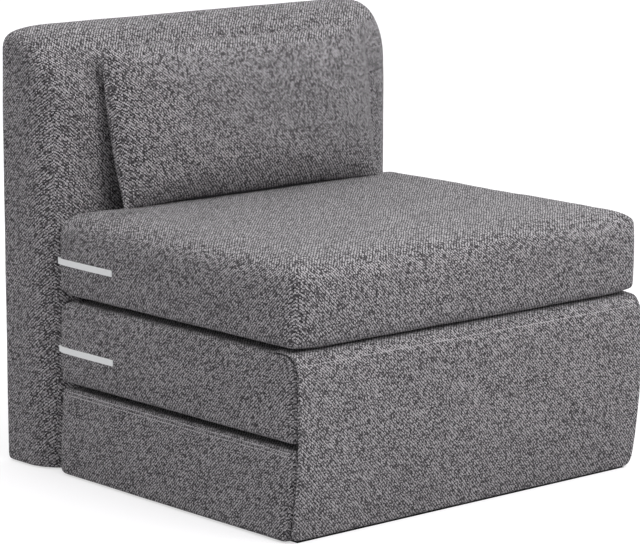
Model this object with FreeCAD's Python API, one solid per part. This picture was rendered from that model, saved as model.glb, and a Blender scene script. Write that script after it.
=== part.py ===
import FreeCAD, Part
import math
import os

os.makedirs("parts", exist_ok=True)

# A convertible chair bed, closed as a chair, in millimetres.
# +Z is up, the sitter faces -Y and +X is to the right seen from the front.
# The origin is on the floor, under the middle of the chair's box.
# Three foam sections lie folded on each other in front of a backrest that stands on the floor.
# The middle section turns over about the front fold, and the seat section hangs on its rear fold.

# Foam sections
section_width = 800
section_depth = 636
base_height = 158
seat_height = 152.2
seat_crown = 9
seat_side_crown = 10
layer_gap = 2
fold_floor_clearance = 2.2
front_corner_radius = 38
rear_corner_radius = 14
seat_top_radius = 36
lower_edge_radius = 25
middle_front_radius = 38
base_top_radius = 8
base_foot_radius = 15
base_corner_radius = 20

# Backrest
back_overhang = 11
back_depth = 142
back_rise = 315
back_gap = 3
back_side_radius = 75
back_brow_radius = 128
back_rear_radius = 28
back_end_radius = 24
back_foot_radius = 12
back_least_flat = 4
back_end_steps = 4
back_side_steps = 3

# Cloth
cover_thickness = 2
foam_clearance = 0.3
underside_thickness = 1
fold_cloth_thickness = 1.2
fold_cloth_width = 50
fold_clearance = 0.3

# Front flap, padded cloth over the fronts of the base and the middle section
flap_thickness = 8
flap_gap = 1.5
flap_wrap_angle = 56
flap_corner_radius = 20
flap_floor_gap = 2
flap_tongue_thickness = 1.4
flap_tongue_length = 20

# Timber frame in the backrest
frame_margin = 60
frame_front_offset = 50
frame_depth = 40
frame_top_drop = 95
post_width = 45
rail_height = 60
board_thickness = 5
screw_radius = 2.5
screw_head_radius = 5
screw_head_height = 3
screw_length = 72
screw_edge = 15

# Hook and loop fastening
join_strip_thickness = back_gap / 2
join_strip_width = 50
join_strip_length = 600
join_strip_drop = 49
strap_width = 11
strap_thickness = 1.6
strap_length = 154
strap_side_gap = 1
strap_tab_length = 100
strap_tab_thickness = 1.5
upper_strap_rise = 66
lower_strap_rise = 67
patch_thickness = 0.7
patch_length = 90
patch_end = 4

# Zips: a tape with its teeth in a sunk slot, and a slider with a pull
zip_tape_width = 24
zip_tape_thickness = 0.8
zip_teeth_width = 5
zip_teeth_thickness = 1.6
zip_slot_width = 12
zip_depth = 1.5
zip_end_margin = 60
slider_length = 12
slider_width = 8.6
slider_plate = 1.2
slider_clearance = 0.15
pull_length = 22
pull_width = 5
pull_thickness = 0.9
back_zip_height = 62
base_zip_height = 45
middle_zip_rise = 62
seat_zip_rise = 70

# Lumbar pillow
pillow_width = 594
pillow_height = 294
pillow_front_swell = 60
pillow_rear_swell = 34
pillow_seam_swell = 5
pillow_draw_in = 5
pillow_least_seam = 1
pillow_taper_power = 3
pillow_fullness_power = 0.6
pillow_draw_power = 4
pillow_tilt = 8.6
pillow_clearance = 0.3
pillow_sections = 12
pillow_zip_length = 320
pillow_zip_depth = 6
pillow_zip_tape_width = 9

# Places worked out from the sizes
middle_height = base_height - fold_floor_clearance
base_top = base_height
middle_bottom = base_top + layer_gap
middle_top = middle_bottom + middle_height
seat_bottom = middle_top + layer_gap
seat_top = seat_bottom + seat_height
half_width = section_width / 2
back_width = section_width + 2 * back_overhang
back_height = seat_top + back_rise
frame_height = back_height - frame_top_drop
overall_depth = back_depth + back_gap + section_depth + flap_gap + flap_thickness
back_front = overall_depth / 2 - back_depth
back_rear = overall_depth / 2
section_rear = back_front - back_gap
section_front = section_rear - section_depth
flap_inner = section_front - flap_gap
flap_outer = flap_inner - flap_thickness
front_fold_y = flap_outer - fold_clearance
front_fold_z = base_top + layer_gap / 2
rear_fold_y = section_rear + fold_cloth_thickness + fold_clearance
rear_fold_z = middle_top + layer_gap / 2


def save(name, *solids):
    shape = solids[0] if len(solids) == 1 else Part.makeCompound(list(solids))
    shape.exportStep("parts/" + name + ".step")


def box(x0, x1, y0, y1, z0, z1):
    return Part.makeBox(x1 - x0, y1 - y0, z1 - z0, FreeCAD.Vector(x0, y0, z0))


def in_plan(height):
    return lambda u, v: FreeCAD.Vector(u, v, height)


def in_front_view(y):
    return lambda u, v: FreeCAD.Vector(u, y, v)


def in_side_view(x):
    return lambda u, v: FreeCAD.Vector(x, u, v)


def rounded_outline(corners, place):
    # Each corner is (u, v, radius, rise), going round anticlockwise.
    # The rise bows out the side that follows the corner.
    count = len(corners)
    arcs = []
    for i in range(count):
        u, v, radius, _ = corners[i]
        back_u = corners[i - 1][0] - u
        back_v = corners[i - 1][1] - v
        next_u = corners[(i + 1) % count][0] - u
        next_v = corners[(i + 1) % count][1] - v
        back_length = math.hypot(back_u, back_v)
        next_length = math.hypot(next_u, next_v)
        back_u, back_v = back_u / back_length, back_v / back_length
        next_u, next_v = next_u / next_length, next_v / next_length
        half_angle = math.acos(back_u * next_u + back_v * next_v) / 2
        reach = radius / math.tan(half_angle)
        mid_u, mid_v = back_u + next_u, back_v + next_v
        mid_length = math.hypot(mid_u, mid_v)
        sink = (radius / math.sin(half_angle) - radius) / mid_length
        start = (u + back_u * reach, v + back_v * reach)
        middle = (u + mid_u * sink, v + mid_v * sink)
        end = (u + next_u * reach, v + next_v * reach)
        arcs.append((start, middle, end))
    edges = []
    for i in range(count):
        start, middle, end = arcs[i]
        if corners[i][2] > 0:
            edges.append(Part.Arc(place(*start), place(*middle), place(*end)).toShape())
        following = arcs[(i + 1) % count][0]
        rise = corners[i][3]
        if rise == 0:
            edges.append(Part.LineSegment(place(*end), place(*following)).toShape())
            continue
        along_u, along_v = following[0] - end[0], following[1] - end[1]
        length = math.hypot(along_u, along_v)
        crest = (
            (end[0] + following[0]) / 2 + along_v / length * rise,
            (end[1] + following[1]) / 2 - along_u / length * rise,
        )
        edges.append(Part.Arc(place(*end), place(*crest), place(*following)).toShape())
    return Part.Wire(edges)


def prism(wire, direction):
    return Part.Face(wire).extrude(direction)


def soft_block(bottom, edge_top, crowns, radii, inset):
    # A foam section: what its plan, its front view and its side view have in common.
    side_crown, front_crown = crowns
    x = half_width - inset
    front = section_front + inset
    rear = section_rear - inset
    low = bottom + inset
    high = edge_top - inset
    plan_front = radii["plan_front"] - inset
    plan_rear = radii["plan_rear"] - inset
    foot = radii["foot"] - inset
    side = radii["side"] - inset
    top_front = radii["top_front"] - inset
    top_rear = radii["top_rear"] - inset
    plan = rounded_outline(
        [(-x, front, plan_front, 0), (x, front, plan_front, 0), (x, rear, plan_rear, 0), (-x, rear, plan_rear, 0)],
        in_plan(low),
    )
    front_view = rounded_outline(
        [(-x, low, foot, 0), (x, low, foot, 0), (x, high, side, side_crown), (-x, high, side, 0)],
        in_front_view(front),
    )
    side_view = rounded_outline(
        [
            (front, low, foot, 0),
            (rear, low, foot, 0),
            (rear, high, top_rear, front_crown),
            (front, high, top_front, 0),
        ],
        in_side_view(-x),
    )
    solid = prism(plan, FreeCAD.Vector(0, 0, high - low + 2 * side_crown))
    solid = solid.common(prism(front_view, FreeCAD.Vector(0, rear - front, 0)))
    solid = solid.common(prism(side_view, FreeCAD.Vector(2 * x, 0, 0)))
    return solid.Solids[0]


def back_section(end_distance, x, inset):
    # The backrest's outline at one distance from its end, drawn in by the end's roundings.
    side_radius = back_side_radius - inset
    end_radius = back_end_radius - inset
    front_in = 0
    if end_distance < side_radius:
        front_in = side_radius - math.sqrt(side_radius**2 - (side_radius - end_distance) ** 2)
    other_in = 0
    if end_distance < end_radius:
        other_in = end_radius - math.sqrt(end_radius**2 - (end_radius - end_distance) ** 2)
    foot_in = other_in * back_foot_radius / back_end_radius
    front = back_front + inset + front_in
    rear = back_rear - inset - other_in
    top = back_height - inset - other_in
    low = underside_thickness + inset + foot_in
    rear_radius = back_rear_radius - inset - other_in
    brow_radius = back_brow_radius - inset - front_in
    foot_radius = min(back_foot_radius - inset, (rear - front - back_least_flat) / 2)
    small_y = rear - rear_radius
    small_z = top - rear_radius
    big_y = front + brow_radius
    span = small_y - front
    big_z = small_z - math.sqrt((span - rear_radius) * (2 * brow_radius - rear_radius - span))
    meet = math.atan2(small_z - big_z, small_y - big_y)
    place = in_side_view(x)

    def on_arc(centre_y, centre_z, radius, angle):
        return place(centre_y + radius * math.cos(angle), centre_z + radius * math.sin(angle))

    def arc(centre_y, centre_z, radius, first, last):
        middle = (first + last) / 2
        angles = (first, middle, last)
        return Part.Arc(*[on_arc(centre_y, centre_z, radius, a) for a in angles]).toShape()

    edges = [
        arc(front + foot_radius, low + foot_radius, foot_radius, 1.5 * math.pi, math.pi),
        Part.LineSegment(place(front, low + foot_radius), place(front, big_z)).toShape(),
        arc(big_y, big_z, brow_radius, math.pi, meet),
        arc(small_y, small_z, rear_radius, meet, 0),
        Part.LineSegment(place(rear, small_z), place(rear, low + foot_radius)).toShape(),
        arc(rear - foot_radius, low + foot_radius, foot_radius, 0, -math.pi / 2),
        Part.LineSegment(place(rear - foot_radius, low), place(front + foot_radius, low)).toShape(),
    ]
    return Part.Wire(edges)


def rounding_stations(radius, first, steps):
    # Distances from the end, evenly turned along a quarter round, from one of them inwards.
    start = math.acos(1 - first / radius)
    turns = [start + (math.pi / 2 - start) * i / steps for i in range(steps + 1)]
    return [radius * (1 - math.cos(turn)) for turn in turns]


def back_block(inset):
    # The backrest: a plain middle and two lofted ends, whose front edges are widely rounded.
    # Each end is two lofts, because its small rounding stops before its wide one.
    half = back_width / 2 - inset
    side_radius = back_side_radius - inset
    end_radius = back_end_radius - inset
    middle = prism(
        back_section(side_radius, -half + side_radius, inset),
        FreeCAD.Vector(2 * (half - side_radius), 0, 0),
    )
    pieces = []
    for distances in (
        rounding_stations(end_radius, 0, back_end_steps),
        rounding_stations(side_radius, end_radius, back_side_steps),
    ):
        right = Part.makeLoft([back_section(d, half - d, inset) for d in distances], True, False)
        pieces.append(right)
        pieces.append(right.mirror(FreeCAD.Vector(0, 0, 0), FreeCAD.Vector(1, 0, 0)))
    return middle.fuse(pieces).removeSplitter().Solids[0]


def zip_parts(length, tape_width):
    # A closed zip along X in its own frame: its back is the plane Y = 0 and it faces +Y.
    tape = box(-length / 2, length / 2, 0, zip_tape_thickness, -tape_width / 2, tape_width / 2)
    teeth_top = zip_tape_thickness + zip_teeth_thickness
    teeth = box(-length / 2, length / 2, 0, teeth_top, -zip_teeth_width / 2, zip_teeth_width / 2)
    closed = tape.fuse(teeth).removeSplitter()
    start = length / 2 - slider_length - slider_clearance
    end = start + slider_length
    plate_low = teeth_top + slider_clearance
    plate = box(start, end, plate_low, plate_low + slider_plate, -slider_width / 2, slider_width / 2)
    cheek_low = zip_tape_thickness + slider_clearance
    cheek_in = zip_teeth_width / 2 + slider_clearance
    right_cheek = box(start, end, cheek_low, plate_low, cheek_in, slider_width / 2)
    left_cheek = box(start, end, cheek_low, plate_low, -slider_width / 2, -cheek_in)
    pull = box(
        start - pull_length,
        start + slider_length / 2,
        plate_low + slider_plate - pull_thickness,
        plate_low + slider_plate,
        -pull_width / 2,
        pull_width / 2,
    )
    slider = plate.fuse([right_cheek, left_cheek, pull]).removeSplitter()
    return closed.Solids[0], slider.Solids[0]


def moved(shape, x, y, z):
    copy = shape.copy()
    copy.translate(FreeCAD.Vector(x, y, z))
    return copy


def covered_block(name, make, face_y, zip_z, zip_half):
    # A sewn cover, the foam inside it, and a zip in a sunk slot along its rear face.
    outside = make(0)
    inside = make(cover_thickness)
    filling = make(cover_thickness + foam_clearance)
    foam_face = face_y - cover_thickness
    zip_back = foam_face - zip_depth - zip_tape_thickness
    slot = box(
        -zip_half, zip_half, foam_face - 1, face_y + 1, zip_z - zip_slot_width / 2, zip_z + zip_slot_width / 2
    )
    recess = box(
        -zip_half, zip_half, zip_back, face_y + 1, zip_z - zip_tape_width / 2, zip_z + zip_tape_width / 2
    )
    cover = outside.cut(inside).cut(slot)
    foam = filling.cut(recess)
    closed, slider = zip_parts(2 * zip_half, zip_tape_width)
    save(name + "_cover", cover.Solids[0])
    save(name + "_zip", moved(closed, 0, zip_back, zip_z))
    save(name + "_zip_slider", moved(slider, 0, zip_back, zip_z))
    return foam.Solids[0]


def crown_height(offset, half_span, edge_radius):
    # How far a crowned top has dropped below its crest, at an offset from the middle.
    chord = half_span - edge_radius
    radius = (chord**2 + seat_crown**2) / (2 * seat_crown)
    return radius - math.sqrt(radius**2 - offset**2)


def make_base():
    radii = {
        "plan_front": base_corner_radius,
        "plan_rear": rear_corner_radius,
        "foot": base_foot_radius,
        "side": base_top_radius,
        "top_front": base_top_radius,
        "top_rear": base_top_radius,
    }
    foam = covered_block(
        "base",
        lambda inset: soft_block(underside_thickness, base_top, (0, 0), radii, inset),
        section_rear,
        base_zip_height,
        half_width - zip_end_margin,
    )
    save("base_foam", foam)
    edge = base_foot_radius
    save(
        "base_underside_cloth",
        box(edge - half_width, half_width - edge, section_front + edge, section_rear - edge, 0, underside_thickness),
    )


def make_middle():
    radii = {
        "plan_front": base_corner_radius,
        "plan_rear": rear_corner_radius,
        "foot": lower_edge_radius,
        "side": lower_edge_radius,
        "top_front": middle_front_radius,
        "top_rear": lower_edge_radius,
    }
    foam = covered_block(
        "middle",
        lambda inset: soft_block(middle_bottom, middle_top, (0, 0), radii, inset),
        section_rear,
        middle_bottom + middle_zip_rise,
        half_width - zip_end_margin,
    )
    save("middle_foam", foam)


def make_seat():
    seat_crowns = (seat_side_crown, seat_crown)
    radii = {
        "plan_front": front_corner_radius,
        "plan_rear": rear_corner_radius,
        "foot": lower_edge_radius,
        "side": seat_top_radius,
        "top_front": front_corner_radius,
        "top_rear": seat_top_radius,
    }
    foam = covered_block(
        "seat",
        lambda inset: soft_block(seat_bottom, seat_top - seat_crown, seat_crowns, radii, inset),
        section_rear,
        seat_bottom + seat_zip_rise,
        half_width - zip_end_margin,
    )
    save("seat_foam", foam)


def make_backrest():
    # Timber frame: two posts, three rails between them, a board on its front and screws.
    frame_half = back_width / 2 - frame_margin
    frame_front = back_front + frame_front_offset
    frame_rear = frame_front + frame_depth
    frame_low = underside_thickness + cover_thickness
    post_inner = frame_half - post_width
    right_post = box(post_inner, frame_half, frame_front, frame_rear, frame_low, frame_height)
    left_post = box(-frame_half, -post_inner, frame_front, frame_rear, frame_low, frame_height)
    rail_lows = {
        "back_bottom_rail": frame_low,
        "back_middle_rail": (frame_low + frame_height - rail_height) / 2,
        "back_top_rail": frame_height - rail_height,
    }
    rails = {
        name: box(-post_inner, post_inner, frame_front, frame_rear, low, low + rail_height)
        for name, low in rail_lows.items()
    }
    frame_mid = (frame_front + frame_rear) / 2
    screws = []
    for low in rail_lows.values():
        for height in (low + screw_edge, low + rail_height - screw_edge):
            shank = Part.makeCylinder(
                screw_radius,
                screw_length,
                FreeCAD.Vector(frame_half, frame_mid, height),
                FreeCAD.Vector(-1, 0, 0),
            )
            head = Part.makeCylinder(
                screw_head_radius,
                screw_head_height,
                FreeCAD.Vector(frame_half, frame_mid, height),
                FreeCAD.Vector(-1, 0, 0),
            )
            screw = shank.fuse(head).removeSplitter().Solids[0]
            screws.append(screw)
            screws.append(screw.mirror(FreeCAD.Vector(0, 0, 0), FreeCAD.Vector(1, 0, 0)))
    board = box(
        -frame_half, frame_half, frame_front - board_thickness, frame_front, frame_low, frame_height
    )
    foam = covered_block("back", back_block, back_rear, back_zip_height, half_width - zip_end_margin)
    space = box(
        -frame_half, frame_half, frame_front - board_thickness, frame_rear, frame_low, frame_height
    )
    windows = []
    lows = sorted(rail_lows.values())
    for low, high in zip(lows, lows[1:]):
        windows.append(box(-post_inner, post_inner, frame_front, frame_rear, low + rail_height, high))
    save("back_foam", foam.cut(space.cut(Part.makeCompound(windows))).Solids[0])
    save("back_right_post", right_post.cut(screws).Solids[0])
    save("back_left_post", left_post.cut(screws).Solids[0])
    for name, rail in rails.items():
        save(name, rail.cut(screws).Solids[0])
    save("back_board", board)
    save("frame_screws", *screws)
    cloth_edge = back_foot_radius
    cloth_end = back_width / 2 - back_side_radius
    save(
        "back_underside_cloth",
        box(
            -cloth_end,
            cloth_end,
            back_front + cloth_edge,
            back_rear - cloth_edge,
            0,
            underside_thickness,
        ),
    )


def make_joining_strips():
    # Hook tape on the base's rear and loop tape on the backrest's front hold the two together.
    high = base_top - join_strip_drop + join_strip_width / 2
    low = high - join_strip_width
    half = join_strip_length / 2
    meeting = section_rear + join_strip_thickness
    save("base_joining_tape", box(-half, half, section_rear, meeting, low, high))
    save("back_joining_tape", box(-half, half, meeting, back_front, low, high))


def make_folds():
    # Cloth strips sewn across the two folds are the hinges of the three sections.
    half = half_width - front_corner_radius
    reach = fold_cloth_width / 2
    save(
        "front_fold_cloth",
        box(
            -half,
            half,
            section_front - fold_cloth_thickness,
            section_front,
            front_fold_z - reach,
            front_fold_z + reach,
        ),
    )
    save(
        "rear_fold_cloth",
        box(
            -half,
            half,
            section_rear,
            section_rear + fold_cloth_thickness,
            rear_fold_z - reach,
            rear_fold_z + reach,
        ),
    )


def make_flap():
    # The flap bends at the front fold, so its lower half hangs on the base's front
    # and its upper half rides on the middle section, whose top front edge it follows.
    lower = prism(
        rounded_outline(
            [
                (-half_width, flap_floor_gap, flap_corner_radius, 0),
                (half_width, flap_floor_gap, flap_corner_radius, 0),
                (half_width, front_fold_z - fold_clearance, 0, 0),
                (-half_width, front_fold_z - fold_clearance, 0, 0),
            ],
            in_front_view(flap_outer),
        ),
        FreeCAD.Vector(0, flap_thickness, 0),
    )
    save("front_flap_lower", lower)
    centre_y = section_front + middle_front_radius
    centre_z = middle_top - middle_front_radius
    place = in_side_view(-half_width)
    wrap = math.radians(flap_wrap_angle)

    def at(radius, angle):
        return place(centre_y - radius * math.cos(angle), centre_z + radius * math.sin(angle))

    def ring(inner, outer, first, last):
        middle = (first + last) / 2
        edges = [
            Part.Arc(at(outer, first), at(outer, middle), at(outer, last)).toShape(),
            Part.LineSegment(at(outer, last), at(inner, last)).toShape(),
            Part.Arc(at(inner, last), at(inner, middle), at(inner, first)).toShape(),
            Part.LineSegment(at(inner, first), at(outer, first)).toShape(),
        ]
        return prism(Part.Wire(edges), FreeCAD.Vector(2 * half_width, 0, 0))

    inner = middle_front_radius + flap_gap
    outer = inner + flap_thickness
    tongue_inner = middle_front_radius + fold_clearance
    tongue_outer = tongue_inner + flap_tongue_thickness
    straight = box(
        -half_width, half_width, flap_outer, flap_inner, front_fold_z + fold_clearance, centre_z
    )
    padded = ring(inner, outer, 0, wrap)
    tongue = ring(tongue_inner, tongue_outer, wrap / 2, math.pi / 2)
    sewn = box(
        -half_width,
        half_width,
        centre_y,
        centre_y + flap_tongue_length,
        centre_z + tongue_inner,
        centre_z + tongue_outer,
    )
    upper = straight.fuse([padded, tongue, sewn]).removeSplitter()
    save("front_flap_upper", upper.Solids[0])


def make_straps():
    # Each strap swings about its tab's outer end and fastens to a patch on a section's side.
    tab_end = half_width + strap_side_gap - fold_clearance
    inner = half_width + strap_side_gap
    outer = inner + strap_thickness
    near = back_front - strap_tab_thickness - fold_clearance
    tabs = []
    patches = {"seat": [], "middle": []}
    heights = {"upper": seat_bottom + upper_strap_rise, "lower": middle_bottom + lower_strap_rise}
    sections = {"upper": "seat", "lower": "middle"}
    for level, height in heights.items():
        low = height - strap_width / 2
        high = height + strap_width / 2
        strap = box(inner, outer, near - strap_length, near, low, high)
        tab = box(tab_end - strap_tab_length, tab_end, back_front - strap_tab_thickness, back_front, low, high)
        patch_front = near - strap_length + patch_end
        patch = box(half_width, half_width + patch_thickness, patch_front, patch_front + patch_length, low, high)
        for side, flip in (("right", False), ("left", True)):
            pieces = [strap, tab, patch]
            if flip:
                middle_plane = (FreeCAD.Vector(0, 0, 0), FreeCAD.Vector(1, 0, 0))
                pieces = [piece.mirror(*middle_plane) for piece in pieces]
            save(side + "_" + level + "_strap", pieces[0])
            tabs.append(pieces[1])
            patches[sections[level]].append(pieces[2])
    save("strap_tabs", *tabs)
    save("seat_strap_patches", *patches["seat"])
    save("middle_strap_patches", *patches["middle"])


def pillow_block(inset):
    # Lens-shaped sections from end to end: pointed corners, and drawn-in seams between them.
    half = pillow_width / 2 - inset
    seam_inset = inset * math.sqrt(2)
    sections = []
    for i in range(pillow_sections + 1):
        turn = math.pi * i / pillow_sections
        x = -half * math.cos(turn)
        reach = abs(x) / half
        fullness = (1 - reach**pillow_taper_power) ** pillow_fullness_power
        draw = pillow_draw_in * (1 - reach**pillow_draw_power)
        seam = max(pillow_seam_swell - inset, pillow_least_seam)
        front = seam + (pillow_front_swell - pillow_seam_swell) * fullness
        rear = seam + (pillow_rear_swell - pillow_seam_swell) * fullness
        low = draw + seam_inset
        high = pillow_height - draw - seam_inset
        middle = (low + high) / 2
        place = in_side_view(x)
        face = Part.Arc(place(0, low), place(-front, middle), place(0, high)).toShape()
        back = Part.Arc(place(0, high), place(rear, middle), place(0, low)).toShape()
        sections.append(Part.Wire([face, back]))
    return Part.makeLoft(sections, True, False)


def make_pillow():
    outside = pillow_block(0)
    inside = pillow_block(cover_thickness)
    stuffing = pillow_block(cover_thickness + foam_clearance)
    notch_top = pillow_draw_in + pillow_zip_depth
    half = pillow_zip_length / 2
    notch = box(-half, half, -pillow_front_swell, pillow_rear_swell, -1, notch_top)
    cover = outside.cut(inside).cut(notch).Solids[0]
    filling = stuffing.cut(notch).Solids[0]
    closed, slider = zip_parts(pillow_zip_length, pillow_zip_tape_width)
    pieces = {"pillow_cover": cover, "pillow_filling": filling}
    for name, piece in (("pillow_zip", closed), ("pillow_zip_slider", slider)):
        piece.rotate(FreeCAD.Vector(0, 0, 0), FreeCAD.Vector(1, 0, 0), -90)
        piece.translate(FreeCAD.Vector(0, 0, notch_top))
        pieces[name] = piece
    for piece in pieces.values():
        piece.rotate(FreeCAD.Vector(0, 0, 0), FreeCAD.Vector(1, 0, 0), -pillow_tilt)
    bounds = pieces["pillow_cover"].optimalBoundingBox(False)
    shift = back_front - pillow_clearance - bounds.YMax
    seat_middle = (section_front + section_rear) / 2
    drop = max(
        crown_height(pillow_width / 2, half_width, seat_top_radius),
        crown_height(shift - seat_middle, section_depth / 2, seat_top_radius),
    )
    lift = seat_top - drop + pillow_clearance - bounds.ZMin
    for name, piece in pieces.items():
        save(name, moved(piece, 0, shift, lift))


make_base()
make_middle()
make_seat()
make_backrest()
make_joining_strips()
make_folds()
make_flap()
make_straps()
make_pillow()
print("front fold axis", round(front_fold_y, 2), round(front_fold_z, 2))
print("rear fold axis", round(rear_fold_y, 2), round(rear_fold_z, 2))
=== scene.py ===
import math

import bmesh
import bpy
import numpy as np
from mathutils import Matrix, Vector, noise
from mathutils.bvhtree import BVHTree


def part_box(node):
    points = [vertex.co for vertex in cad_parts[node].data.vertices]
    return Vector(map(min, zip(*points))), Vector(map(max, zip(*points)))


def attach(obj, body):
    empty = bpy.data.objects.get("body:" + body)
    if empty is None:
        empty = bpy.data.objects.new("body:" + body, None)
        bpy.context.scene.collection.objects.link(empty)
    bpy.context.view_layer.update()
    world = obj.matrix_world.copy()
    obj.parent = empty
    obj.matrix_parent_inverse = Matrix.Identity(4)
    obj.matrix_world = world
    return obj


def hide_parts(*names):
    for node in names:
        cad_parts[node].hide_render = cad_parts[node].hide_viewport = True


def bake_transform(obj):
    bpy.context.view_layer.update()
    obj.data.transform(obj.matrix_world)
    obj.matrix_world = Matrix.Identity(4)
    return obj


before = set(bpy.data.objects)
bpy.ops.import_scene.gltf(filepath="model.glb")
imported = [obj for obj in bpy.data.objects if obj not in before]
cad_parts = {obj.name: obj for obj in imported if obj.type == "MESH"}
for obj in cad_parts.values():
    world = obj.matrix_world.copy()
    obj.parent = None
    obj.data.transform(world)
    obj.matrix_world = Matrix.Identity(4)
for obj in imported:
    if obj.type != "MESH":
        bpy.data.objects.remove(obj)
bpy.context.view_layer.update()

mm = 0.001
scene = bpy.context.scene
print("frame loaded:", len(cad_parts), "nodes")


# Small helpers

def srgb(hexText, factor=1.0):
    # A hex colour as written, turned to linear light.
    channels = [int(hexText[i:i + 2], 16) / 255 for i in (1, 3, 5)]
    linear = [c / 12.92 if c <= 0.04045 else ((c + 0.055) / 1.055) ** 2.4 for c in channels]
    return (*[min(1, c * factor) for c in linear], 1.0)


def addNode(tree, kind, inputs=None, **settings):
    # An input takes a value, a socket, or a whole node for its first output.
    node = tree.nodes.new("ShaderNode" + kind)
    for name, value in settings.items():
        setattr(node, name, value)
    for key, value in (inputs or {}).items():
        source = value.outputs[0] if isinstance(value, bpy.types.Node) else value
        if isinstance(source, bpy.types.NodeSocket):
            tree.links.new(source, node.inputs[key])
        else:
            node.inputs[key].default_value = source
    return node


def newMaterial(name):
    material = bpy.data.materials.new(name)
    material.use_nodes = True
    tree = material.node_tree
    tree.nodes.clear()
    return material, tree


def makeObject(name, points, faces, *materials, smooth=True):
    mesh = bpy.data.meshes.new(name)
    mesh.from_pydata([tuple(p) for p in points], [], [tuple(f) for f in faces])
    mesh.validate()
    mesh.polygons.foreach_set("use_smooth", [smooth] * len(mesh.polygons))
    obj = bpy.data.objects.new(name, mesh)
    scene.collection.objects.link(obj)
    for material in materials:
        mesh.materials.append(material)
    return obj


def getPoints(obj, what="co"):
    values = np.empty(len(obj.data.vertices) * 3, np.float64)
    obj.data.vertices.foreach_get(what, values)
    return values.reshape(-1, 3)


def setPoints(obj, points):
    obj.data.vertices.foreach_set("co", points.astype(np.float32).ravel())
    obj.data.update()


def smoothStep(values, start, end):
    t = np.clip((values - start) / (end - start), 0, 1)
    return t * t * (3 - 2 * t)


def corners(node):
    # A node's lowest and highest corner in millimetres.
    low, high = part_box(node)
    return [c / mm for c in low], [c / mm for c in high]


def joinParts(parts):
    # Several (points, faces) as one.
    points, faces = [], []
    for partPoints, partFaces in parts:
        faces += [tuple(len(points) + i for i in face) for face in partFaces]
        points += partPoints
    return points, faces


def finishPiece(obj, body, slotName, *nodes):
    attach(obj, body)
    if nodes:
        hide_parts(*nodes)
    return obj


# Materials

def clothPlane(tree):
    # The cloth's own two directions: each face of a block takes the pair of axes that it lies along.
    place = addNode(tree, "TexCoord")
    jitter = addNode(tree, "TexNoise", {"Vector": place.outputs["Object"], "Scale": 160.0, "Detail": 1.0})
    shift = addNode(tree, "Math", {0: jitter, 1: 0.16, 2: -0.08}, operation="MULTIPLY_ADD")
    normal = addNode(tree, "SeparateXYZ", {0: place.outputs["Normal"]})
    x, y, z = addNode(tree, "SeparateXYZ", {0: place.outputs["Object"]}).outputs
    nx, ny, nz = [addNode(tree, "Math", {0: part}, operation="ABSOLUTE") for part in normal.outputs]
    nxMoved = addNode(tree, "Math", {0: nx, 1: shift}, operation="ADD")
    nzMoved = addNode(tree, "Math", {0: nz, 1: shift}, operation="ADD")
    onSide = addNode(tree, "Math", {0: nxMoved, 1: ny}, operation="GREATER_THAN")
    widest = addNode(tree, "Math", {0: nx, 1: ny}, operation="MAXIMUM")
    onTop = addNode(tree, "Math", {0: nzMoved, 1: widest}, operation="GREATER_THAN")
    forward = addNode(tree, "Math", {0: y, 1: -1.0}, operation="MULTIPLY")
    levelAcross = addNode(tree, "Mix", {0: onSide, 2: x, 3: z})
    levelAlong = addNode(tree, "Mix", {0: onSide, 2: z, 3: y})
    across = addNode(tree, "Mix", {0: onTop, 2: levelAcross, 3: x})
    along = addNode(tree, "Mix", {0: onTop, 2: levelAlong, 3: forward})
    return place.outputs["Object"], across, along


tweedLook = {
    "warpPitch": 2.0,       # mm from yarn to yarn; the real cloth is finer, this is as coarse as it shows
    "weftPitch": 2.0,
    "twill": 3,             # the weft comes over every third warp yarn
    "slubLength": 14,       # mm that a thick or thin place in a yarn is long
    "slubShade": 0.1,       # how much lighter or darker that place is
    "dark": "#121113",      # charcoal yarn
    "middle": "#5c595c",    # mid grey yarn
    "light": "#bfbcbf",     # pale grey yarn
    "weftShift": -0.75,     # the weft is spun darker than the warp
    "yarnDepth": 0.4,       # mm that a yarn stands proud
    "valleyShade": 0.6,          # painted shade: the share of the colour left in the gaps between yarns
    "waver": 1.5,           # yarns that the weave wavers by
    "cloud": 0.1,           # how much lighter or darker whole patches are
}


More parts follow.
